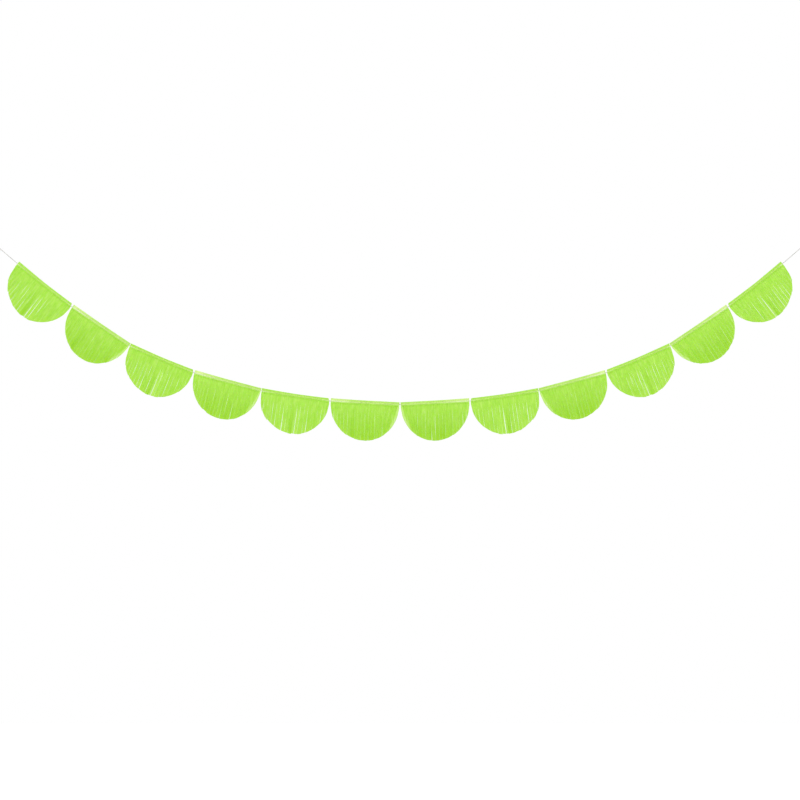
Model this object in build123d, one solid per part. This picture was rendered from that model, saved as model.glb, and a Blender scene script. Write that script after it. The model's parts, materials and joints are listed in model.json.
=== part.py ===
"""Scalloped paper fringe garland: twelve folded tissue scallops glued along one white string.

Millimetres. X runs from the left hook to the right hook, Z is up, and the front is -Y. The origin is where the left
hook holds the string's loop. The garland hangs as a chain of straight stretches, one in each scallop, and its right
half mirrors its left half. The tissue is drawn thicker than the real 0.03 mm, so that it is a solid.
"""

from build123d import *

import os
from math import acos, asin, atan, cos, degrees, pi, radians, sin, sqrt, tan

# String
string_diameter = 3.0
string_sides = 8
# Slope of the string below level, from the left end's scallop to the one beside the middle
string_slope_degrees = (38.4, 34.0, 22.8, 14.9, 8.5, 3.0)
# The string bends only between two scallops, this far from either
bend_clearance = 0.4

# Free ends, each with a loop that is tied round a hook
tail_slope = 40.5
tail_length = 90.0
tail_entry = 24.0
corner_share = 0.45
hook_diameter = 12.0
loop_length = 34.0
leg_spacing = 3.4
leg_straight = 4.0
leg_bend_radius = 16.0

# Knot, as turns of string side by side round the loop's two legs, wider in the loop's plane than across it
knot_turns = 3
knot_width = 12.4
knot_depth = 9.2
knot_bevel = 0.9
knot_sides = 12

# Scallop sheet, seen from the front: short upright sides under the fold, and a half-round lower edge
scallop_width = 249.0
scallop_gap = 5.0
side_height = 22.5
paper_thickness = 0.4
leaf_splay = 3.0

# Casing that the fold makes round the string, and the glue strip under it
string_drop = 9.5
casing_clearance = 0.35
casing_tilt = 25.0
glue_gap = 0.6
glue_height = 5.0
glue_thickness = 0.3
glue_inset = 3.0

# Fringe, cut through both leaves
fringe_header = 30.0
strip_count = 20
slit_width = 1.2

# How far a cutting body runs past what it cuts
overrun = 5.0

# Worked out from the sizes above
string_radius = string_diameter / 2
inner_side = glue_thickness / 2
outer_side = inner_side + paper_thickness
scallop_pitch = scallop_width + scallop_gap
scallop_radius = scallop_width / 2
scallop_depth = side_height + scallop_radius
eye_radius = hook_diameter / 2 + string_radius
knot_length = knot_turns * string_diameter
strip_width = scallop_width / strip_count


def along(slope, length):
    """A step of a given length in the garland's plane, at a slope in degrees below level."""
    return Vector(cos(radians(slope)), 0, -sin(radians(slope))) * length


def half_turns(points):
    """Half of the turn at each inner point, in radians."""
    legs = [after - before for before, after in zip(points, points[1:])]
    return [radians(one.get_angle(two)) / 2 for one, two in zip(legs, legs[1:])]


def casing_radius(side):
    """The casing's bulge round the string, on a face of the sheet that elsewhere lies `side` from the middle."""
    return string_radius + casing_clearance + side - inner_side


def casing_reach(side):
    """How far above and below the string's centre that face leaves the flat."""
    tilt = radians(casing_tilt)
    return (casing_radius(side) - side * cos(tilt)) / sin(tilt)


# The glue lies where both leaves are flat again under the casing, and cutting bodies reach past the bulging sheet
glue_top = string_drop + casing_reach(outer_side) + glue_gap
sheet_reach = leaf_splay + casing_radius(outer_side) + overrun


def tube(path):
    """The string's section carried along a path."""
    start = Plane(origin=path @ 0, x_dir=(0, 1, 0), z_dir=path % 0)
    return sweep(start * RegularPolygon(string_radius, string_sides, rotation=180 / string_sides), path=path)


def string_route():
    """The left knot's inner face, the points where the string bends, the right knot's inner face, and the slopes."""
    slopes = [*string_slope_degrees, *(-slope for slope in reversed(string_slope_degrees))]
    points = [along(tail_slope, loop_length + knot_length)]
    for slope, length in [(tail_slope, tail_length), *((slope, scallop_pitch) for slope in slopes)]:
        points.append(points[-1] + along(slope, length))
    points.append(points[-1] + along(-tail_slope, tail_length))
    return points, slopes


def threaded_string(bends):
    """The string through all the casings, bent only in the gaps between scallops."""
    first = bends[0] + (bends[1] - bends[0]).normalized() * tail_entry
    last = bends[-1] + (bends[-2] - bends[-1]).normalized() * tail_entry
    points = [first, *bends[1:-1], last]
    reach = scallop_gap / 2 - bend_clearance
    radii = [reach / tan(half) for half in half_turns(points)]
    print("threaded string bend radii", [round(radius) for radius in radii])
    return FilletPolyline(*points, radius=radii)


def tail(knot_face, bend, next_bend):
    """A free end of the string, from its knot into the mouth of the first casing."""
    points = [knot_face, bend, bend + (next_bend - bend).normalized() * tail_entry]
    radius = corner_share * tail_entry / tan(half_turns(points)[0])
    print("tail bend radius", round(radius))
    return FilletPolyline(*points, radius=[radius])


def hanging_loop():
    """The tied loop's line, with its knot end at the origin and its eye up the Z axis.

    Each leg leaves the knot square, then turns on to the line that touches the eye's circle."""
    half_gap = leg_spacing / 2
    rise = loop_length - leg_straight
    tilt = asin(eye_radius / sqrt(half_gap**2 + rise**2)) - atan(half_gap / rise)
    reach = sqrt(half_gap**2 + rise**2 - eye_radius**2)
    corner = Vector(half_gap, 0, leg_straight)
    touch = corner + Vector(sin(tilt), 0, cos(tilt)) * reach
    leg = FilletPolyline((half_gap, 0, 0), corner, touch, radius=[leg_bend_radius])
    cap = ThreePointArc(touch, (0, 0, loop_length + eye_radius), (-touch.X, 0, touch.Z))
    print("loop bend radii", leg_bend_radius, eye_radius)
    return Wire([*leg.edges(), *cap.edges(), *leg.mirror(Plane.YZ).edges()])


def knot():
    """The knot, with flat ends where the string goes in."""
    angles = [2 * pi * (index + 0.5) / knot_sides for index in range(knot_sides)]
    corners = [(cos(angle) * knot_width / 2, sin(angle) * knot_depth / 2) for angle in angles]
    turn = extrude(make_face(Polyline(*corners, close=True)), amount=string_diameter)
    rims = turn.edges().filter_by(Plane.XY)
    turn = chamfer(rims, knot_bevel)
    return Part() + [Pos(0, 0, index * string_diameter) * turn for index in range(knot_turns)]


def sheet_outline(side, top):
    """Closed outline, seen along the string, of the face of the folded sheet that lies `side` from the middle."""
    low = -scallop_depth - overrun
    reach = casing_reach(side)
    bulge = casing_radius(side)
    corners = [
        (0, top),
        (side, top),
        (side, reach - string_drop),
        (bulge / cos(radians(casing_tilt)), -string_drop),
        (side, -reach - string_drop),
        (side, -glue_top - glue_height),
        (side + leaf_splay, low),
        (0, low),
    ]
    half = FilletPolyline(*corners, radius=[0, 0, bulge, 0, 0, 0])
    return make_face([*half.edges(), *half.mirror(Plane.YZ).edges()])


def slit_places():
    """Where the fringe's cuts stand along the fold, from its middle."""
    return [strip_width * (index - strip_count / 2) for index in range(1, strip_count)]


def slits():
    """The fringe's cuts, each a thin wedge that opens downwards."""
    low = -scallop_depth - overrun
    corners = [(0, -fringe_header), (slit_width / 2, low), (-slit_width / 2, low)]
    cut = extrude(Plane.XZ * make_face(Polyline(*corners, close=True)), amount=sheet_reach, both=True)
    return [Pos(place, 0, 0) * cut for place in slit_places()]


def front_outline():
    """The scallop from the front. The end of each strip but the outermost two is cut straight, slit to slit."""
    centre = (0, -side_height)
    turn = degrees(acos(1 - strip_width / scallop_radius))
    ends = [(place, -side_height - sqrt(scallop_radius**2 - place**2)) for place in slit_places()]
    upper = [(scallop_radius, -side_height), (scallop_radius, 0), (-scallop_radius, 0), (-scallop_radius, -side_height)]
    lines = [
        Polyline(*upper),
        CenterArc(centre, scallop_radius, 180, turn),
        Polyline(*ends),
        CenterArc(centre, scallop_radius, -turn, turn),
    ]
    return make_face([edge for line in lines for edge in line.edges()])


def scallop_sheet():
    """One tissue sheet: the fold, the casing and two fringed leaves. Its fold's top edge runs along X."""
    section = sheet_outline(outer_side, 0) - sheet_outline(inner_side, -paper_thickness)
    folded = extrude(Plane.YZ * section, amount=scallop_width / 2 + overrun, both=True)
    outline = extrude(Plane.XZ * front_outline(), amount=sheet_reach, both=True)
    return (folded & outline) - slits()


def glue_strip():
    """The dried glue line between the leaves, right under the string."""
    length = scallop_width - 2 * glue_inset
    return Pos(0, 0, -glue_top - glue_height / 2) * Box(length, glue_thickness, glue_height)


def write(shape, name):
    """One piece to its own file."""
    shape.label = name
    export_step(shape, f"parts/{name}.step")


def write_pair(shape, name, span):
    """An end's piece, and its mirror image at the other end of the garland."""
    write(shape, f"left_{name}")
    write(shape.mirror(Plane.YZ.offset(span / 2)), f"right_{name}")


def main():
    os.makedirs("parts", exist_ok=True)
    points, slopes = string_route()
    knot_face, bends, far_knot_face = points[0], points[1:-1], points[-1]
    span = (knot_face + far_knot_face).X

    sheet, glue = scallop_sheet(), glue_strip()
    for number, (bend, slope) in enumerate(zip(bends, slopes), 1):
        place = Pos(*(bend + along(slope, scallop_pitch / 2))) * Rot(0, slope, 0) * Pos(0, 0, string_drop)
        write(place * sheet, f"scallop_{number:02d}")
        write(place * glue, f"glue_strip_{number:02d}")

    main_path = threaded_string(bends)
    tail_path = tail(knot_face, bends[0], bends[1])
    loop_path = hanging_loop()
    at_knot = Pos(*knot_face) * Rot(0, tail_slope - 90, 0)
    main_run, free_run, loop = tube(main_path), tube(tail_path), tube(loop_path)
    write(main_run, "threaded_string")
    write_pair(free_run, "tail", span)
    write_pair(at_knot * knot(), "knot", span)
    write_pair(at_knot * Pos(0, 0, knot_length) * loop, "loop", span)

    section = string_sides * sin(2 * pi / string_sides) / 2 * string_radius**2
    for shape, path in ((main_run, main_path), (free_run, tail_path), (loop, loop_path)):
        print("length", round(path.length, 1), "volume over section", round(shape.volume / section, 1))


main()
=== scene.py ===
"""Scalloped paper fringe garland: fringed tissue scallops, hung on one twisted cotton string.

Metres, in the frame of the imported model: X from the left hook to the right hook, Z up, the front at -Y.
"""
import json
import random
from math import cos, exp, hypot, pi, radians, sin, sqrt

import bmesh
import bpy
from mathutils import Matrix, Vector, noise


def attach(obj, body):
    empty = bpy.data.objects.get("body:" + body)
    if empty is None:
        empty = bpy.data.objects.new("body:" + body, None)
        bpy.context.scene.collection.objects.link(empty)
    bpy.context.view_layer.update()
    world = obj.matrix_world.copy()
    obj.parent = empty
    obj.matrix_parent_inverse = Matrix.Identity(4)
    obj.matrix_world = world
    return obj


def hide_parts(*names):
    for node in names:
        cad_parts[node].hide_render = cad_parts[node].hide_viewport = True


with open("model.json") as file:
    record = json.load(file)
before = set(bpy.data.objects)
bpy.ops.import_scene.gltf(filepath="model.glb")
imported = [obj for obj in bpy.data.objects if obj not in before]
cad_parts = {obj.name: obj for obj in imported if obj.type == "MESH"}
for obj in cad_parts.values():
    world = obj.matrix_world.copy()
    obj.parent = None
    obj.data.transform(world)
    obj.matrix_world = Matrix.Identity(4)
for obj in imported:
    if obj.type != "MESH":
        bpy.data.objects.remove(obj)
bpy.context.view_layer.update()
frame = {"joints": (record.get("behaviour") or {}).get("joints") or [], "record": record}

MM = 0.001

# Sizes of the source
string_diameter = 3.0 * MM
scallop_count = 12
scallop_width = 249.0 * MM
scallop_gap = 5.0 * MM
side_height = 22.5 * MM
string_drop = 9.5 * MM
casing_clearance = 0.35 * MM
leaf_splay = 3.0 * MM
glue_top = 14.1 * MM
glue_height = 5.0 * MM
glue_inset = 3.0 * MM
fringe_header = 30.0 * MM
strip_count = 20
tail_slope = 40.5
tail_entry = 24.0 * MM
loop_length = 34.0 * MM
knot_length = 9.0 * MM

string_radius = string_diameter / 2
scallop_pitch = scallop_width + scallop_gap
scallop_radius = scallop_width / 2
scallop_depth = side_height + scallop_radius
strip_width = scallop_width / strip_count

joints = {joint["name"]: joint for joint in frame["joints"]}
scallop_numbers = range(1, scallop_count + 1)
left_hook = Vector((0, 0, 0))
right_hook = Vector(frame["record"]["mounts"][1]["pos_m"])


def middle_of_run(number):
    """The middle of a scallop's stretch of string, and the direction of that stretch."""
    joint = joints[f"scallop_{number:02d}_swing"]
    return Vector(joint["pos_m"]), Vector(joint["axis"]).normalized()


def bend_before(number):
    """Where the string bends on the left of a scallop."""
    middle, direction = middle_of_run(number)
    return middle - direction * scallop_pitch / 2


def bend_after(number):
    middle, direction = middle_of_run(number)
    return middle + direction * scallop_pitch / 2


def smoothstep(value):
    """0 up to 0 and 1 from 1, smooth in between."""
    value = min(max(value, 0.0), 1.0)
    return value * value * (3 - 2 * value)


# Camera

# Where the photograph's camera stands
photo_width = 2.915
photo_middle_height = -0.5837
lens = 200.0
sensor = 36.0


def make_camera():
    data = bpy.data.cameras.new("camera")
    data.lens = lens
    data.sensor_width = sensor
    camera = bpy.data.objects.new("camera", data)
    camera.location = (right_hook.x / 2, -photo_width * lens / sensor, photo_middle_height)
    camera.rotation_euler = (pi / 2, 0, 0)
    bpy.context.scene.collection.objects.link(camera)
    bpy.context.scene.camera = camera


# Node helpers

class Shader:
    """Short calls for one material's nodes."""

    def __init__(self, name):
        self.material = bpy.data.materials.new(name)
        self.material.use_nodes = True
        self.tree = self.material.node_tree
        self.surface = self.tree.nodes["Principled BSDF"]

    def feed(self, node, inputs):
        """Links sockets to a node's inputs, and writes constant values straight on them."""
        for name, value in inputs.items():
            if isinstance(value, bpy.types.NodeSocket):
                self.tree.links.new(value, node.inputs[name])
            else:
                node.inputs[name].default_value = value

    def node(self, kind, inputs, **settings):
        made = self.tree.nodes.new(kind)
        for name, value in settings.items():
            setattr(made, name, value)
        self.feed(made, inputs)
        return made

    def math(self, operation, *values):
        return self.node("ShaderNodeMath", dict(enumerate(values)), operation=operation).outputs[0]

    def mix(self, share, first, second):
        return self.node("ShaderNodeMix", {0: share, 6: first, 7: second}, data_type="RGBA").outputs[2]

    def lay(self, ground, tone, mask, strength):
        """The ground with a tone laid over it where the mask is 1, at this strength."""
        return self.mix(self.math("MULTIPLY", mask, strength), ground, tone)

    def band(self, value, low, high):
        """0 up to low, 1 from high, smooth in between. With low above high it falls instead."""
        inputs = {"Value": value, "From Min": low, "From Max": high}
        return self.node("ShaderNodeMapRange", inputs, interpolation_type="SMOOTHSTEP").outputs["Result"]

    def stretch(self, place, factors):
        return self.node("ShaderNodeMapping", {"Vector": place, "Scale": factors}).outputs["Vector"]

    def noise(self, place, factors, detail=3.0, roughness=0.55):
        inputs = {"Vector": self.stretch(place, factors), "Scale": 1.0, "Detail": detail,
                  "Roughness": roughness}
        return self.node("ShaderNodeTexNoise", inputs).outputs["Fac"]

    def bump(self, height, distance, strength, under=None):
        inputs = {"Height": height, "Distance": distance, "Strength": strength}
        if under is not None:
            inputs["Normal"] = under
        return self.node("ShaderNodeBump", inputs).outputs["Normal"]

    def fact(self, name, output="Fac"):
        """What the mesh says about each point under this name."""
        return self.node("ShaderNodeAttribute", {}, attribute_name=name).outputs[output]

    def object_place(self):
        return self.node("ShaderNodeTexCoord", {}).outputs["Object"]


def colour(red, green, blue):
    """A shader colour from the 0 to 255 values that a screen shows."""
    shares = [value / 255 for value in (red, green, blue)]
    return (*(x / 12.92 if x <= 0.04045 else ((x + 0.055) / 1.055) ** 2.4 for x in shares), 1)


# Tissue material

lime = colour(185, 236, 80)
light_lime = colour(198, 241, 99)
pale_fibre = colour(219, 248, 142)
pale_streak = colour(224, 249, 152)
deep_streak = colour(160, 226, 42)
# Deep green for the strips' random tones and for painted shade where strips overlap
deep_strip_and_overlap_shade = colour(168, 223, 32)
# Painted light showing through the header
header_light_through = colour(230, 248, 172)
# Painted light of the white string showing through the tissue: its pale line, and paler green over the string
string_light_through = colour(246, 255, 214)
string_light_over_cotton = colour(206, 255, 126)
over_glue = colour(178, 242, 62)
# Painted light: brighter green under the string's line, lifting the shade below the casing's bulge
under_line_light = colour(190, 255, 76)
outer_edge = colour(178, 227, 70)

# Where each mark fades in: the first three by millimetres from their middle, the others by millimetres below
# the string's line
cotton_fade = (2.6, 1.2)
line_fade = (2.5, 0.9)
glue_fade = (2.9, 1.5)
header_fade = (5.6, 3.8)
under_start = (1.2, 2.4)
under_end = (5.0, 3.6)
glue_middle = (glue_top + glue_height / 2 - string_drop) / MM

# How much the tissue covers, and how much light comes through it. Cotton behind it stops part of that light,
# and glue less
tissue_cover = 0.8
more_cover_on_cotton = 0.17
light_through = 0.35
light_stopped = 0.2
share_stopped_by_glue = 0.6


def tissue_ground(shader, place, fibres):
    """The tissue's colours: mottled pulp, fibres and streaks along the strips, and the strips' tones, partly
    random and partly painted shade where strips overlap.
    """
    mottle = shader.noise(place, (0.11, 0.05, 0.11), detail=4.0)
    streaks = shader.noise(place, (0.30, 0.022, 0.30), detail=2.0)
    ground = shader.mix(shader.band(mottle, 0.3, 0.7), lime, light_lime)
    ground = shader.lay(ground, pale_fibre, shader.band(fibres, 0.45, 0.8), strength=0.3)
    ground = shader.lay(ground, pale_streak, shader.band(streaks, 0.5, 0.75), strength=0.6)
    ground = shader.lay(ground, deep_streak, shader.band(streaks, 0.5, 0.25), strength=0.55)
    # Deeper green from random tones and from painted shade where strips overlap
    return shader.mix(shader.fact("strip_tone_and_shade"), ground, deep_strip_and_overlap_shade)


def tissue_marks(shader, ground, below, over_string, glued):
    """Adds the header's painted light, the white string's painted light as a pale line and over it, painted
    light as brighter green under that line, the glued line and the outer edge.
    """
    near_line = shader.band(shader.math("ABSOLUTE", below), *line_fade)
    line = shader.math("MULTIPLY", near_line, shader.fact("string_pale"))
    header = shader.math("MULTIPLY", shader.band(below, *header_fade), shader.fact("header_pale"))
    under = shader.math("MULTIPLY", shader.band(below, *under_start), shader.band(below, *under_end))
    # Painted light showing through the header, and the white string's painted light as a pale line and over
    # the string
    tone = shader.mix(header, ground, header_light_through)
    tone = shader.mix(line, tone, string_light_through)
    tone = shader.lay(tone, string_light_over_cotton, over_string, strength=0.3)
    tone = shader.lay(tone, over_glue, glued, strength=0.5)
    # Painted light that lifts the shade below the string's bulge
    tone = shader.lay(tone, under_line_light, under, strength=0.35)
    return shader.lay(tone, outer_edge, shader.fact("edge_dark"), strength=0.4)


def tissue_relief(shader, place, fibres):
    """Fine crumples, creases and fibres."""
    inputs = {"Vector": shader.stretch(place, (0.11, 0.06, 0.11)), "Scale": 1.0, "Smoothness": 0.25}
    crumple = shader.node("ShaderNodeTexVoronoi", inputs, feature="SMOOTH_F1").outputs["Distance"]
    wrinkle = shader.noise(place, (0.4, 0.13, 0.4), detail=4.0, roughness=0.6)
    normal = shader.bump(crumple, distance=2.4 * MM, strength=0.8)
    normal = shader.bump(wrinkle, distance=1.3 * MM, strength=0.7, under=normal)
    return shader.bump(fibres, distance=0.12 * MM, strength=0.6, under=normal)


def let_light_through(shader, tone, normal, over_string, glued):
    """Mixes in the light that comes through the tissue, less so over the string and the glue."""
    backed = shader.math("MAXIMUM", over_string, shader.math("MULTIPLY", glued, share_stopped_by_glue))
    share_through = shader.math("MULTIPLY_ADD", backed, -light_stopped, light_through)
    through = shader.node("ShaderNodeBsdfTranslucent", {"Color": tone, "Normal": normal}).outputs["BSDF"]
    parts = {0: share_through, 1: shader.surface.outputs["BSDF"], 2: through}
    leaf = shader.node("ShaderNodeMixShader", parts).outputs["Shader"]
    shader.feed(shader.tree.nodes["Material Output"], {"Surface": leaf})


def tissue_material():
    """Thin lime tissue that lets light through. The scallop's mesh tells it these facts at each point:

    sheet_place: millimetres along the fold and below the string's centre, and a number of each leaf's own
    string_shift: how far the string's pale line lies below the string's centre, in millimetres
    string_pale and header_pale: how strong the white string's painted light is on that line, and how strong
    the painted light showing through the header is
    strip_tone_and_shade: how deep the green of a strip is, from random tones and from painted shade where
    strips overlap
    edge_dark: 1 at the sheet's outer edge, and 0 further in
    """
    shader = Shader("lime_tissue")
    place = shader.fact("sheet_place", "Vector")
    below_string = shader.node("ShaderNodeSeparateXYZ", {"Vector": place}).outputs["Y"]
    over_string = shader.band(shader.math("ABSOLUTE", below_string), *cotton_fade)
    below_line = shader.math("SUBTRACT", below_string, shader.fact("string_shift"))
    from_glue = shader.math("ABSOLUTE", shader.math("SUBTRACT", below_line, glue_middle))
    glued = shader.band(from_glue, *glue_fade)

    fibres = shader.noise(place, (2.6, 0.35, 2.6), detail=5.0, roughness=0.7)
    tone = tissue_marks(shader, tissue_ground(shader, place, fibres), below_line, over_string, glued)
    normal = tissue_relief(shader, place, fibres)
    shader.feed(shader.surface, {
        "Base Color": tone,
        "Normal": normal,
        "Alpha": shader.math("MULTIPLY_ADD", over_string, more_cover_on_cotton, tissue_cover),
        "Roughness": 0.85,
        "Specular IOR Level": 0.12,
    })
    let_light_through(shader, tone, normal, over_string, glued)
    return shader.material


# Cotton and glue materials

# Both cotton tones are greyed a little as painted shade; the flecks are painted shade between the fibres
worn_shaded_cotton = colour(216, 215, 210)
clean_shaded_cotton = colour(234, 234, 230)
fibre_gap_shade = colour(196, 195, 188)
deep_glue = colour(176, 232, 84)
pale_glue = colour(204, 242, 128)


def cotton_material():
    """White cotton greyed a little as painted shade, a little worn in places, with fine grey flecks of
    painted shade between its fibres.
    """
    shader = Shader("white_cotton")
    place = shader.object_place()
    fibres = shader.noise(place, (900, 900, 900), detail=5.0, roughness=0.7)
    soiling = shader.noise(place, (35, 35, 35))
    tone = shader.mix(shader.band(soiling, 0.35, 0.7), worn_shaded_cotton, clean_shaded_cotton)
    # Painted shade between the fibres
    tone = shader.lay(tone, fibre_gap_shade, shader.band(fibres, 0.45, 0.75), strength=0.45)
    shader.feed(shader.surface, {
        "Base Color": tone,
        "Normal": shader.bump(fibres, distance=0.12 * MM, strength=0.6),
        "Roughness": 0.9,
        "Specular IOR Level": 0.1,
        "Sheen Weight": 0.2,
    })
    return shader.material


def glue_material():
    """Dried glue that has soaked up the tissue's dye."""
    shader = Shader("dried_glue")
    blotches = shader.noise(shader.object_place(), (180, 180, 180), detail=4.0)
    shader.feed(shader.surface, {
        "Base Color": shader.mix(shader.band(blotches, 0.35, 0.65), deep_glue, pale_glue),
        "Roughness": shader.math("MULTIPLY_ADD", blotches, 0.3, 0.25),
        "Normal": shader.bump(blotches, distance=0.2 * MM, strength=0.5),
        "Alpha": 0.3,
    })
    return shader.material


# Meshes and lines

smooth_line_steps = 24


def add_object(name, points, faces, material, smooth=True):
    mesh = bpy.data.meshes.new(name)
    mesh.from_pydata(points, [], faces)
    mesh.polygons.foreach_set("use_smooth", [smooth] * len(mesh.polygons))
    mesh.materials.append(material)
    mesh.update()
    made = bpy.data.objects.new(name, mesh)
    bpy.context.scene.collection.objects.link(made)
    return made


def smooth_line(points):
    """The points of the smooth line that has these control points."""
    curve = bpy.data.curves.new("line", "CURVE")
    curve.dimensions = "3D"
    curve.resolution_u = smooth_line_steps
    spline = curve.splines.new("NURBS")
    spline.points.add(len(points) - 1)
    for control, point in zip(spline.points, points):
        control.co = (*point, 1)
    spline.order_u = 3
    spline.use_endpoint_u = True
    holder = bpy.data.objects.new("line", curve)
    mesh = bpy.data.meshes.new_from_object(holder)
    line = [vertex.co.copy() for vertex in mesh.vertices]
    bpy.data.objects.remove(holder)
    bpy.data.curves.remove(curve)
    bpy.data.meshes.remove(mesh)
    return line


def evenly(line, step):
    """The same line, as points a steady step apart."""
    placed = [line[0]]
    left = step
    for start, end in zip(line, line[1:]):
        run = end - start
        at = 0.0
        while run.length - at >= left:
            at += left
            placed.append(start + run * (at / run.length))
            left = step
        left -= run.length - at
    return placed


def carried_frames(line):
    """A pair of directions square to the line at each point, carried along it without twist."""
    across = Vector((0, 1, 0))
    frames = []
    for index in range(len(line)):
        before, after = line[max(index - 1, 0)], line[min(index + 1, len(line) - 1)]
        tangent = (after - before).normalized()
        across = (across - tangent * across.dot(tangent)).normalized()
        frames.append((across, tangent.cross(across)))
    return frames


# String

string_lay = 9.0 * MM
steps_in_lay = 9
strand_count = 3
strand_sides = 7

# The strands swell and thin by this share, after a noise that is read this far on at each step and in each
# strand
strand_swell = 0.05
swell_step = 0.37
strand_step = 9.1

# The string is straight in each casing, so a control point stands this far from each bend, on both sides
bend_reach = 6 * string_diameter

# The left end's string, from its cut end through the knot, round the hook and back through the knot: how far
# each control point lies down the tail from the hook's centre, and how far above the tail's line, in
# millimetres
end_route = (
    (55.0, -7.0), (49.0, -5.0), (43.5, -2.4), (38.5, -1.7), (34.0, -1.7), (30.0, -1.8), (24.5, -2.8),
    (5.5, -6.7), (-1.3, -7.9), (-6.1, -5.2), (-8.0, 0.0), (-6.1, 5.2), (-1.3, 7.9), (5.5, 6.7),
    (24.5, 2.8), (30.0, 1.8), (34.0, 1.7), (38.5, 1.2), (43.0, 0.2), (61.0, 0.0), (97.0, 0.0),
)


def twisted_string(name, line, first_turn, material):
    """Three strands laid round each other along an evenly stepped line. Their lay starts at first_turn."""
    # Round strands of this size touch each other and together fill the string's own round
    strand_radius = string_radius / (1 + 2 / sqrt(3))
    lay_radius = string_radius - strand_radius
    points, faces = [], []
    frames = carried_frames(line)
    for strand in range(strand_count):
        base = len(points)
        for index, (centre, (across, up)) in enumerate(zip(line, frames)):
            angle = 2 * pi * (first_turn + index / steps_in_lay + strand / strand_count)
            uneven = noise.noise(Vector((index * swell_step, strand * strand_step, first_turn)))
            swell = 1 + strand_swell * uneven
            middle = centre + (across * cos(angle) + up * sin(angle)) * lay_radius
            for side in range(strand_sides):
                turn = angle + 2 * pi * side / strand_sides
                points.append(middle + (across * cos(turn) + up * sin(turn)) * strand_radius * swell)
        for index in range(len(line) - 1):
            row, after = base + index * strand_sides, base + (index + 1) * strand_sides
            for side in range(strand_sides):
                beside = (side + 1) % strand_sides
                faces.append((row + side, row + beside, after + beside, after + side))
        last = base + (len(line) - 1) * strand_sides
        faces.append(tuple(base + side for side in reversed(range(strand_sides))))
        faces.append(tuple(last + side for side in range(strand_sides)))
    return add_object(name, points, faces, material)


def left_end_place(down_tail, above, forward=0.0):
    """A place near the left end, from its distance down the tail's line, above it and in front of it."""
    slope = radians(tail_slope)
    return left_hook + Vector((
        cos(slope) * down_tail + sin(slope) * above,
        -forward,
        -sin(slope) * down_tail + cos(slope) * above,
    ))


def mirrored(point):
    return Vector((right_hook.x - point.x, point.y, point.z))


def string_controls():
    """Control points of the whole string, from one cut end to the other."""
    left = [left_end_place(down * MM, above * MM) for down, above in end_route]
    bends = [bend_before(1), *(bend_after(number) for number in scallop_numbers)]
    middle = []
    for index, bend in enumerate(bends):
        before = bends[index - 1] if index else left[-1]
        after = bends[index + 1] if index + 1 < len(bends) else mirrored(left[-1])
        middle.append(bend + (before - bend).normalized() * bend_reach)
        middle.append(bend)
        middle.append(bend + (after - bend).normalized() * bend_reach)
    return [*left, *middle, *(mirrored(point) for point in reversed(left))]


def nearest(line, place):
    return min(range(len(line)), key=lambda index: (line[index] - place).length)


def make_string(cotton):
    """The string in three stretches, with its strands running on from one to the next."""
    line = evenly(smooth_line(string_controls()), string_lay / steps_in_lay)
    _, first_way = middle_of_run(1)
    _, last_way = middle_of_run(scallop_count)
    first = nearest(line, bend_before(1) + first_way * tail_entry)
    last = nearest(line, bend_after(scallop_count) - last_way * tail_entry)
    stretches = {"left_string_end": (0, first + 1), "main_string": (first, last + 1),
                 "right_string_end": (last, len(line))}
    made = {}
    for name, (start, stop) in stretches.items():
        piece = twisted_string(name, line[start:stop], start / steps_in_lay, cotton)
        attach(piece, "string")
        made[name] = (piece, line[start:stop])
    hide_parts("threaded_string")
    return made


# Knots

wrap_turns = 3
wrap_length = 6.9 * MM
wrap_width = 4.6 * MM
wrap_depth = 3.3 * MM
wrap_sway = 0.25 * MM
wrap_sway_start = 1.0
wrap_points_in_turn = 12
wrap_first_turn = 0.2
tucked_points = 2
tucked_squeeze = 0.35


def make_knot(name, side, cotton):
    """Three turns of string drawn tight round the loop's legs, with both ends of the turns tucked under."""
    start = loop_length + (knot_length - wrap_length) / 2
    count = wrap_turns * wrap_points_in_turn
    controls = []
    for index in range(-tucked_points, count + tucked_points + 1):
        angle = 2 * pi * index / wrap_points_in_turn
        tucked = max(0, -index, index - count) / tucked_points
        squeeze = 1 - tucked_squeeze * tucked
        advance = min(max(index, 0), count) / count * wrap_length
        sway = wrap_sway * sin(angle / 2 + wrap_sway_start)
        controls.append(left_end_place(
            start + advance + sway,
            cos(angle) * wrap_width * squeeze,
            sin(angle) * wrap_depth * squeeze,
        ))
    if side == "right":
        controls = [mirrored(point) for point in controls]
    line = evenly(smooth_line(controls), string_lay / steps_in_lay)
    piece = twisted_string(name, line, wrap_first_turn, cotton)
    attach(piece, "string")
    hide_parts(f"{side}_knot")
    return piece


def declare_string_ends():
    """Hides the model's tail and loop at each end, where the string runs free from the mouth of the first or
    last casing to its knot.
    """
    for side, number, outward in (("left", 1, -1), ("right", scallop_count, 1)):
        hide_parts(f"{side}_tail", f"{side}_loop")


# The two kinds of scallop

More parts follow.
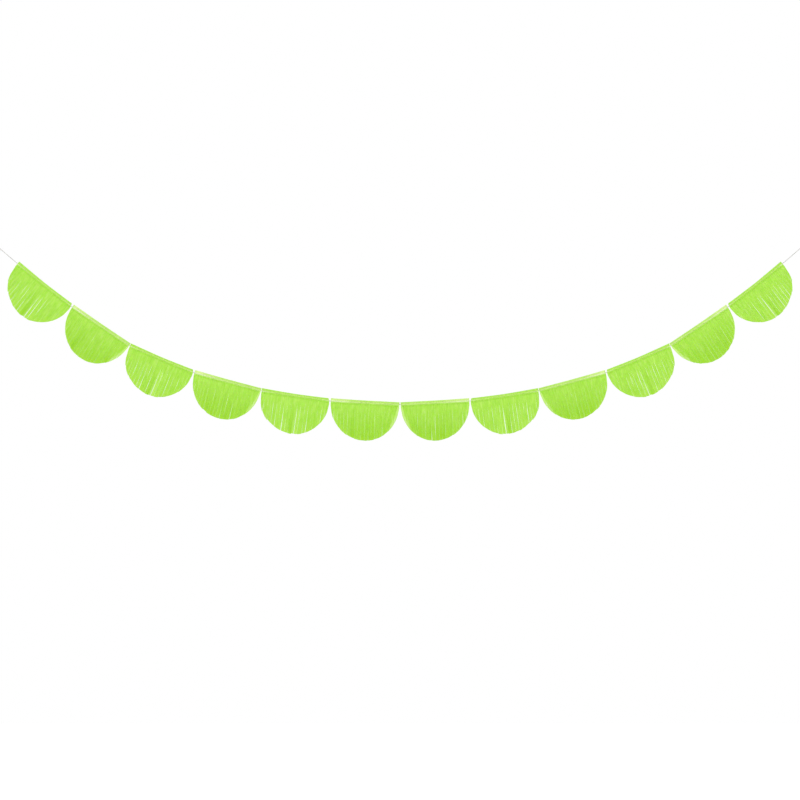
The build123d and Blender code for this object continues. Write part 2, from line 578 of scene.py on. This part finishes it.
# Distances are in millimetres. Lists run over the slits or the strips, from left to right
fringe_a = {
    # How far each slit is cut to the right of its even place
    "slit_offsets": (2.5, 4.5, 0.8, -0.7, -0.3, 1.1, 0.7, 1.0, 1.4, 2.0,
                     -0.6, -1.8, 2.4, 1.4, 3.4, -0.6, -1.0, 0.6, 0),
    # How far each strip's lower end hangs to the right, in the front leaf and in the back leaf
    "front_shifts": (-3.0, -1.4, -2.8, -0.2, 0.9, 1.4, 0.8, 1.6, 1.6, 1.4,
                     -3.0, 2.0, 1.6, 1.4, 1.6, 1.2, 0.6, 0.6, 0.2, 0),
    "back_shifts": (-1.2, -1.8, 0.4, 0.6, 0.9, 0.2, 0.9, 1.6, 1.6, 1.2,
                    0.4, 0.9, 1.6, 1.4, 1.4, 2.0, 1.2, 0.6, 0.2, 0),
    # How much lower each strip ends, and how much deeper its green is there with painted shade where strips
    # overlap
    "end_drops": (1.6, 1.2, 0.2, 0, -0.6, 0, 0.8, 0.4, 1.2, 1.8,
                  0.4, 1.0, 2.2, 1.0, 0.8, 0, -0.3, 0, 0.4, 0),
    "strip_overlap_shades": (0.5, 0.2, 0.45, 0.1, 0.2, -0.05, 0, 0.1, 0, 0.45,
                    0.1, -0.15, 0.05, 0.2, 0.2, 0.2, 0.3, 0.2, 0.2, 0.2),
    # At the fold's left end, middle and right end: how pale the string's painted line is and how far it is
    # shifted down, how pale the header's painted light makes it, how deep the green is at least, and how far
    # the fold dips
    "string_pale": (1.0, 0.12, 0.75),
    "string_shift": (1.0, 0.0, -1.2),
    "header_pale": (0.06, 0.08, 0.02),
    "header_tone": (0.0, 0.0, 0.0),
    "fold_dip": (-0.4, 2.7, 0.0),
    # How closely the line's paleness at the ends keeps to them
    "pale_power": 6.0,
    # The scallop's width as a share of the source's, and how far the whole scallop is moved to the right
    "width_share": 1.008,
    "slide": -0.9,
    # How far the upper part spreads at its sides, and how far the fold's right end and the back leaf's right
    # side are drawn in
    "top_spread": 0.0,
    "corner_nip": 6.0,
    "back_inset": 0.0,
}
fringe_b = {
    "slit_offsets": (0, 0, 0, -0.7, -0.2, 0, 2.4, 0, 0.7, 1.8,
                     2.8, 0, 0.2, 0, 3.8, -1.0, 0, 0, 0),
    "front_shifts": (0, 0, 0.2, 0.0, 0.8, 1.4, 0.6, 1.2, 0.5, 1.2,
                     1.6, 2.2, 1.4, 2.2, 1.6, 1.6, 1.0, 1.0, 0.3, 0),
    "back_shifts": (0, 0.8, 1.8, 2.6, 2.4, 2.9, 2.6, 2.2, 2.8, 2.6,
                    2.9, 3.2, 3.0, 3.4, 3.0, 2.4, 1.6, -1.0, -5.0, -2.0),
    "end_drops": (-1.0, -2.2, -1.9, -1.2, -0.7, -1.0, -0.4, -0.3, 0, 0,
                  0, 0, 0.3, -0.6, -0.5, -0.3, -1.2, 0, 0, 0.5),
    "strip_overlap_shades": (0.6,) * strip_count,
    "string_pale": (2.2, 0.24, 0.3),
    "string_shift": (-1.0, 0.0, 0.0),
    "header_pale": (0.95, 0.32, 0.36),
    "header_tone": (0.0, 0.06, 0.22),
    "fold_dip": (-1.2, 0.9, 0.7),
    "pale_power": 2.0,
    "width_share": 0.994,
    "slide": -0.4,
    "top_spread": 1.5,
    "corner_nip": 0.0,
    "back_inset": 8.0,
}


def strength_along(values, along, power=1.3):
    """A value at a place along the fold, from its values at the left end, the middle and the right end."""
    left, middle, right = values
    place = along / scallop_radius
    return middle + (left - middle) * max(-place, 0) ** power + (right - middle) * max(place, 0) ** power


def slit_places(pattern):
    """Where the strips part, from the left side to the right side."""
    inner = [strip_width * (number - strip_count / 2) + offset * MM
             for number, offset in enumerate(pattern["slit_offsets"], 1)]
    return [-scallop_radius, *inner, scallop_radius]


# Leaves

# The fold is round at its top, and the casing bulges over the string
fold_radius = 0.25 * MM
fold_rounding = 0.4 * MM
bulge_reach = 2.2 * MM

# Under the glue the leaf splays and buckles slowly, and fine creases run over it except on the string
splay_power = 1.4
buckle_height = 0.9 * MM
buckle_push = 0.6
buckle_start = 4
buckle_width = 26 * MM
buckle_length = 60 * MM
crease_height = 0.16 * MM
crease_width = 9 * MM
crease_length = 14 * MM
crease_layer = 7
crease_clearance = 6 * MM
crease_start = 0.6
crumple_span = 90

# How a strip eases out of the header, and how it then lifts, sways, ripples and narrows
ease_start = 2.2
ease_power = 0.6
strip_lift = 1.6 * MM
least_lift_share = 0.4
strip_sway = 0.5 * MM
sway_speed = 4.2
strip_ripple = 0.5 * MM
ripple_length = 22 * MM
ripple_strip_step = 3.7
ripple_across = 1.3
strip_narrowing_share = 0.045
narrowing_start = 3
least_out = 0.15 * MM

# What each strip draws: its turn in degrees, its lift as a share of strip_lift, its curl in millimetres, and
# what is added to its tone and, in millimetres, to its end drop
turn_range = (5, 15)
lift_range = (0.5, 1.6)
curl_range = (-0.5, 1.1)
tone_range = (-0.1, 0.25)
drop_range = (-0.6, 0.6)


def fringe_share(depth):
    """How far down the fringe a depth lies: 0 at the slits' upper ends and 1 at the scallop's lowest end."""
    return max((depth - fringe_header) / (scallop_depth - fringe_header), 0)


def bow(share):
    """1 in the middle of a strip and 0 at its edges, where share is 0.5 or -0.5."""
    return 1 - 4 * share * share


class Leaf:
    """One side of a folded sheet. Depths run down from the fold, and outward is away from the other leaf."""

    def __init__(self, pattern, shifts, seed):
        chance = random.Random(seed)
        self.slits = slit_places(pattern)
        self.shifts = [shift * MM for shift in shifts]
        self.turns = [radians(chance.uniform(*turn_range)) for _ in shifts]
        self.lifts = [strip_lift * chance.uniform(*lift_range) for _ in shifts]
        self.curls = [chance.uniform(*curl_range) * MM for _ in shifts]
        self.sways = [chance.uniform(0, 2 * pi) for _ in shifts]
        self.tones = [chance.uniform(*tone_range) for _ in shifts]
        self.crumples = Vector([chance.uniform(0, crumple_span) for _ in range(3)])
        self.drops = [(drop + chance.uniform(*drop_range)) * MM for drop in pattern["end_drops"]]

    def header(self, along, depth):
        """Outward distance of the sheet if it had no slits."""
        flat = fold_radius * min(1, sqrt(depth / fold_rounding)) if depth > 0 else 0.0
        over_string = exp(-((depth - string_drop) / bulge_reach) ** 2)
        bulge = (string_radius + casing_clearance - fold_radius) * over_string
        hang = max(0.0, depth - glue_top - glue_height) / (scallop_depth - glue_top - glue_height)
        slow = Vector((along / buckle_width, depth / buckle_length, 0)) + self.crumples
        buckle = buckle_height * (noise.noise(slow) + buckle_push) * smoothstep(hang * buckle_start)
        fine = Vector((along / crease_width, depth / crease_length, crease_layer)) + self.crumples
        beside_string = smoothstep(abs(depth - string_drop) / crease_clearance - crease_start)
        crease = crease_height * noise.noise(fine) * beside_string
        return flat + bulge + leaf_splay * hang**splay_power + buckle + abs(crease)

    def strip(self, index, share, along, depth):
        """Where a point of a strip hangs along the fold and outward. share is -0.5 or 0.5 at its edges."""
        fall = fringe_share(depth)
        ease = smoothstep(fall * ease_start) * fall**ease_power
        middle = (self.slits[index] + self.slits[index + 1]) / 2
        width = self.slits[index + 1] - self.slits[index]
        turn = self.turns[index] * ease
        reach = share * width * (1 - strip_narrowing_share * smoothstep(fall * narrowing_start))
        sway = strip_sway * sin(self.sways[index] + fall * sway_speed) * ease
        ripple = Vector((index * ripple_strip_step, depth / ripple_length, share * ripple_across))
        out = self.header(along, depth) + self.lifts[index] * ease * (least_lift_share + fall)
        out += reach * sin(turn) + self.curls[index] * bow(share) * ease
        out += strip_ripple * noise.noise(ripple + self.crumples) * ease
        return middle + reach * cos(turn) + self.shifts[index] * ease + sway, max(out, least_out)


# Sheets

front_side = -1
back_side = 1
columns_in_strip = 4
rows_in_strip = 14

# Depths of the header's rows under the fold, close together over the string
upper_header_rows = tuple(depth * MM for depth in (
    0.0, 0.1, 0.4, 1.6, 3.4, 5.4, 6.8, 7.8, 8.7, 9.5, 10.3, 11.2, 12.2, 13.5, 15.0, 17.5))
lower_header_rows = 5

# The upper part's spread ends this far under the fold, and fades over this length
spread_end = 58 * MM
spread_fade = 30 * MM

# The fold's right end is drawn in over this width and depth, and the back leaf from this place to the right
nip_width = 25 * MM
nip_depth = 9 * MM
inset_start = 86 * MM
inset_fade = 30 * MM

# A strip has to be this long to take its whole end drop
whole_drop_length = 15 * MM

# A strip's green deepens downwards and in its middle with painted shade where strips overlap, and the sheet
# darkens this near its outer edge
tone_power = 0.7
middle_overlap_shade = 0.2
dark_edge = 5 * MM

# The string's line and the header are pale with painted light in patches
patch_strength = 0.5
patch_span = 50
line_patch_width = 17 * MM
line_patch_mean = 0.85
header_patch_width = 30 * MM
header_patch_layer = 5

# The back leaf and the patches draw from seeds this far on from the sheet's own
back_leaf_seed = 500
patch_seed = 900

# The grain is read this much further on for each next sheet, in a cycle, and for a back leaf
grain_step = 60
grain_cycle = 17
back_grain_step = 40


def outline_depth(along):
    """How far under the fold the scallop ends, at a place along the fold."""
    return side_height + sqrt(max(scallop_radius**2 - along**2, 0))


def header_depths(along):
    """Depths of the header's rows at a place along the fold. The last is where the strips start."""
    end = min(fringe_header, outline_depth(along))
    last = upper_header_rows[-1]
    lower_rows = [last + (end - last) * row / lower_header_rows for row in range(1, lower_header_rows + 1)]
    return [*upper_header_rows, *lower_rows]


def column_places(slits):
    """Places of the mesh's columns along the fold, from the left side to the right side."""
    places = []
    for left, right in zip(slits, slits[1:]):
        for column in range(columns_in_strip):
            share = column / columns_in_strip
            places.append(left * (1 - share) + right * share)
    return [*places, slits[-1]]


class Sheet:
    """One folded sheet's points and faces, in its hinge's frame: along the string, outward and up."""

    def __init__(self, pattern, flip, seed):
        self.pattern = pattern
        self.flip = flip
        self.grain_start = seed % grain_cycle * grain_step
        self.patches = random.Random(seed + patch_seed).uniform(0, patch_span)
        self.alongs = column_places(slit_places(pattern))
        self.points, self.faces, self.flat_places, self.sheet_places = [], [], [], []
        self.facts = {}
        leaves = {front_side: Leaf(pattern, pattern["front_shifts"], seed),
                  back_side: Leaf(pattern, pattern["back_shifts"], seed + back_leaf_seed)}
        fold = [self.add_point(front_side, along, 0.0, along, 0.0) for along in self.alongs]
        header_ends = {side: self.add_header(side, leaf, fold) for side, leaf in leaves.items()}
        for side, leaf in leaves.items():
            self.add_fringe(side, leaf, header_ends[side])

    def hanging_place(self, side, along, depth, place):
        """Where a point hangs along the string and under the even fold, with what its scallop's kind adds."""
        pattern = self.pattern
        dip = strength_along(pattern["fold_dip"], along) * MM
        low = depth + dip * max(1 - depth / string_drop, 0)
        across = place * pattern["width_share"] + pattern["slide"] * MM
        spread = pattern["top_spread"] * MM * along / scallop_radius
        across += spread * smoothstep((spread_end - depth) / spread_fade)
        nip = smoothstep((along - scallop_radius + nip_width) / nip_width) * exp(-depth / nip_depth)
        across -= pattern["corner_nip"] * MM * nip
        if side == back_side:
            inset = smoothstep((along - inset_start) / inset_fade) * smoothstep(depth / fringe_header)
            across -= pattern["back_inset"] * MM * inset
        return across, low

    def add_point(self, side, along, depth, place, out, tone=0.0):
        """One point: along and depth say where it is in the flat sheet, place and out where it hangs."""
        across, low = self.hanging_place(side, along, depth, place)
        self.points.append(Vector((-across if self.flip else across, side * out, string_drop - low)))
        self.flat_places.append((-along if self.flip else along, side * depth))
        grain = self.grain_start + back_grain_step * (side * out > 0)
        self.sheet_places += [along / MM, (low - string_drop) / MM, grain]
        self.add_facts(along, depth, tone)
        return len(self.points) - 1

    def add_facts(self, along, depth, tone):
        """What the tissue's material reads at a point. It says there what each name means."""
        pattern = self.pattern
        line_noise = noise.noise(Vector((along / line_patch_width, self.patches, 0)))
        header_noise = noise.noise(Vector((along / header_patch_width, header_patch_layer, self.patches)))
        string_pale = strength_along(pattern["string_pale"], along, pattern["pale_power"])
        header_pale = strength_along(pattern["header_pale"], along)
        from_edge = scallop_radius - hypot(along, max(depth - side_height, 0))
        facts = {
            "string_pale": string_pale * (line_patch_mean + patch_strength * line_noise),
            "string_shift": strength_along(pattern["string_shift"], along),
            "header_pale": header_pale * (1 + patch_strength * header_noise),
            "strip_tone_and_shade": max(tone, strength_along(pattern["header_tone"], along)),
            "edge_dark": smoothstep(1 - from_edge / dark_edge),
        }
        for name, value in facts.items():
            self.facts.setdefault(name, []).append(value)

    def add_faces(self, side, upper, lower):
        """A row of faces between two rows of points, turned so that they look outward."""
        for column in range(len(upper) - 1):
            quad = (upper[column], upper[column + 1], lower[column + 1], lower[column])
            self.faces.append(quad if (side == front_side) != self.flip else quad[::-1])

    def add_header(self, side, leaf, fold):
        """One leaf from the fold down to the slits' upper ends. Gives back its lowest row."""
        columns = [[self.add_point(side, along, depth, along, leaf.header(along, depth))
                    for depth in header_depths(along)[1:]] for along in self.alongs]
        rows = [fold, *zip(*columns)]
        for upper, lower in zip(rows, rows[1:]):
            self.add_faces(side, upper, lower)
        return rows[-1]

    def add_fringe(self, side, leaf, header_end):
        """One leaf's strips, each with its own points below the slits' upper ends."""
        for index in range(strip_count):
            first = index * columns_in_strip
            upper = header_end[first:first + columns_in_strip + 1]
            for row in range(1, rows_in_strip + 1):
                lower = [self.add_strip_point(side, leaf, index, column, row)
                         for column in range(columns_in_strip + 1)]
                self.add_faces(side, upper, lower)
                upper = lower

    def add_strip_point(self, side, leaf, index, column, row):
        along = self.alongs[index * columns_in_strip + column]
        share = column / columns_in_strip - 0.5
        start = header_depths(along)[-1]
        fall = outline_depth(along) - start
        fall += leaf.drops[index] * smoothstep(fall / whole_drop_length)
        depth = start + fall * row / rows_in_strip
        place, out = leaf.strip(index, share, along, depth)
        # The strip's random tone, with painted shade of overlapping strips, more in its middle and as given
        # for each strip
        own_tone_and_shade = leaf.tones[index] + middle_overlap_shade * bow(share) + self.pattern["strip_overlap_shades"][index]
        return self.add_point(side, along, depth, place, out, fringe_share(depth) ** tone_power * own_tone_and_shade)


# Tissue scallops

first_seed = 40
flat_margin = 1.02
weld_distance = 0.004 * MM
stray_edge = 0.001 * MM


def lay_out_flat(mesh, sheet):
    """Texture coordinates as in the flat sheet, with a narrow margin round it."""
    layer = mesh.uv_layers.new(name="flat_sheet")
    across = scallop_width * flat_margin
    down = 2 * flat_margin * scallop_depth
    for loop in mesh.loops:
        along, depth = sheet.flat_places[loop.vertex_index]
        layer.data[loop.index].uv = (along / across + 0.5, depth / down + 0.5)


def store_facts(mesh, sheet):
    """Stores what the tissue's material reads at each point."""
    for name, values in sheet.facts.items():
        mesh.attributes.new(name, "FLOAT", "POINT").data.foreach_set("value", values)
    mesh.attributes.new("sheet_place", "FLOAT_VECTOR", "POINT").data.foreach_set("vector", sheet.sheet_places)


def weld(piece):
    """Joins the strip corners that meet in one point at the sheet's sides."""
    edited = bmesh.new()
    edited.from_mesh(piece.data)
    bmesh.ops.remove_doubles(edited, verts=edited.verts, dist=weld_distance)
    bmesh.ops.dissolve_degenerate(edited, edges=edited.edges, dist=stray_edge)
    edited.to_mesh(piece.data)
    edited.free()


def hang(piece, number):
    """Moves a mesh from its hinge's frame to its place on the string."""
    middle, along = middle_of_run(number)
    out = Vector((0, 1, 0))
    up = along.cross(out)
    for vertex in piece.data.vertices:
        local = vertex.co
        vertex.co = middle + along * local.x + out * local.y + up * local.z
    piece.data.update()


def make_scallop(number, tissue):
    """One scallop. The two kinds take turns, and the right half of the garland mirrors the left half."""
    flip = number > scallop_count / 2
    number_from_end = scallop_count + 1 - number if flip else number
    pattern = fringe_a if number_from_end % 2 else fringe_b
    sheet = Sheet(pattern, flip, first_seed + number)
    piece = add_object(f"tissue_scallop_{number:02d}", sheet.points, sheet.faces, tissue)
    lay_out_flat(piece.data, sheet)
    store_facts(piece.data, sheet)
    weld(piece)
    hang(piece, number)
    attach(piece, f"scallop_{number:02d}")
    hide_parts(f"scallop_{number:02d}")


# Glue lines

glue_columns = 70
glue_wander = 0.5 * MM
wander_length = 20 * MM
swell_length = 8 * MM
swell_layer = 5
glue_line_step = 3.1
glue_reach_share = 0.42
glue_reach_swell = 0.12
glue_half_thickness = 0.12 * MM
glue_thickness_swell = 0.4
glue_end_taper = 0.15


def glue_ring(along, at_end, chance):
    """The glue's outline across its line at one place: flat on both sides, and pointed above and below."""
    wander = noise.noise(Vector((along / wander_length, 0, 0)) + chance)
    swell = noise.noise(Vector((along / swell_length, swell_layer, 0)) + chance)
    middle = string_drop - glue_top - glue_height / 2 + glue_wander * wander
    reach = glue_height * (glue_reach_share + glue_reach_swell * swell)
    thick = glue_half_thickness * (1 + glue_thickness_swell * swell)
    taper = glue_end_taper if at_end else 1.0
    outline = ((reach, 0.0), (reach / 2, thick), (-reach / 2, thick),
               (-reach, 0.0), (-reach / 2, -thick), (reach / 2, -thick))
    return [Vector((along, out * taper, middle + rise * taper)) for rise, out in outline]


def make_glue_line(number, glue):
    """A thin, uneven bead of dried glue between the leaves."""
    chance = Vector((number * glue_line_step, 0, 0))
    half = scallop_radius - glue_inset
    rings = [glue_ring(-half + 2 * half * column / glue_columns, column in (0, glue_columns), chance)
             for column in range(glue_columns + 1)]
    sides = len(rings[0])
    faces = []
    for column in range(glue_columns):
        row, after = column * sides, (column + 1) * sides
        for side in range(sides):
            beside = (side + 1) % sides
            faces.append((row + side, after + side, after + beside, row + beside))
    faces.append(tuple(range(sides)))
    faces.append(tuple(glue_columns * sides + side for side in reversed(range(sides))))
    piece = add_object(f"glue_line_{number:02d}", [point for ring in rings for point in ring], faces, glue)
    hang(piece, number)
    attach(piece, f"scallop_{number:02d}")
    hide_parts(f"glue_strip_{number:02d}")


# Stage

lit_by_world = 0.74
seen_world = 1.0
floor_height = -2.35
floor_size = 16.0
floor_grey = 0.86
floor_glow = 0.25

# Each lamp's strength, and its turn about each axis in degrees
lamps = {"front_lamp": (1.05, (52, 0, -24)), "back_lamp": (0.7, (52, 0, 150))}
lamp_softness = 40


def make_world(scene):
    """A world that lights evenly, and that the camera and glossy and transmitted rays see white."""
    world = bpy.data.worlds.new("studio")
    world.use_nodes = True
    scene.world = world
    nodes, links = world.node_tree.nodes, world.node_tree.links
    rays = nodes.new("ShaderNodeLightPath").outputs
    seen = rays["Is Camera Ray"]
    for kind in ("Is Glossy Ray", "Is Transmission Ray"):
        either = nodes.new("ShaderNodeMath")
        either.operation = "MAXIMUM"
        links.new(seen, either.inputs[0])
        links.new(rays[kind], either.inputs[1])
        seen = either.outputs[0]
    strength = nodes.new("ShaderNodeMapRange")
    strength.inputs["To Min"].default_value = lit_by_world
    strength.inputs["To Max"].default_value = seen_world
    links.new(seen, strength.inputs["Value"])
    background = nodes["Background"]
    background.inputs["Color"].default_value = (1, 1, 1, 1)
    links.new(strength.outputs["Result"], background.inputs["Strength"])


def make_lamps(scene):
    """Soft lamps in front and behind."""
    for name, (energy, angles) in lamps.items():
        data = bpy.data.lights.new(name, "SUN")
        data.energy = energy
        data.angle = radians(lamp_softness)
        lamp = bpy.data.objects.new(name, data)
        lamp.rotation_euler = [radians(angle) for angle in angles]
        scene.collection.objects.link(lamp)


def make_floor():
    """A pale floor that glows a little where the camera sees it."""
    half = floor_size / 2
    middle = right_hook.x / 2
    corners = [Vector((middle + x * half, y * half, floor_height))
               for x, y in ((-1, -1), (1, -1), (1, 1), (-1, 1))]
    shader = Shader("pale_floor")
    seen = shader.node("ShaderNodeLightPath", {}).outputs["Is Camera Ray"]
    shader.feed(shader.surface, {
        "Base Color": (floor_grey, floor_grey, floor_grey, 1),
        "Roughness": 0.9,
        "Emission Color": (1, 1, 1, 1),
        "Emission Strength": shader.math("MULTIPLY", seen, floor_glow),
    })
    add_object("floor", corners, [(0, 1, 2, 3)], shader.material, smooth=False)


bpy.context.scene.view_settings.view_transform = "Standard"
make_camera()
cotton = cotton_material()
stretches = make_string(cotton)
knots = {side: make_knot(f"{side}_knot_turns", side, cotton) for side in ("left", "right")}
declare_string_ends()
tissue = tissue_material()
glue = glue_material()
for number in scallop_numbers:
    make_scallop(number, tissue)
    make_glue_line(number, glue)
make_world(bpy.context.scene)
make_lamps(bpy.context.scene)
make_floor()
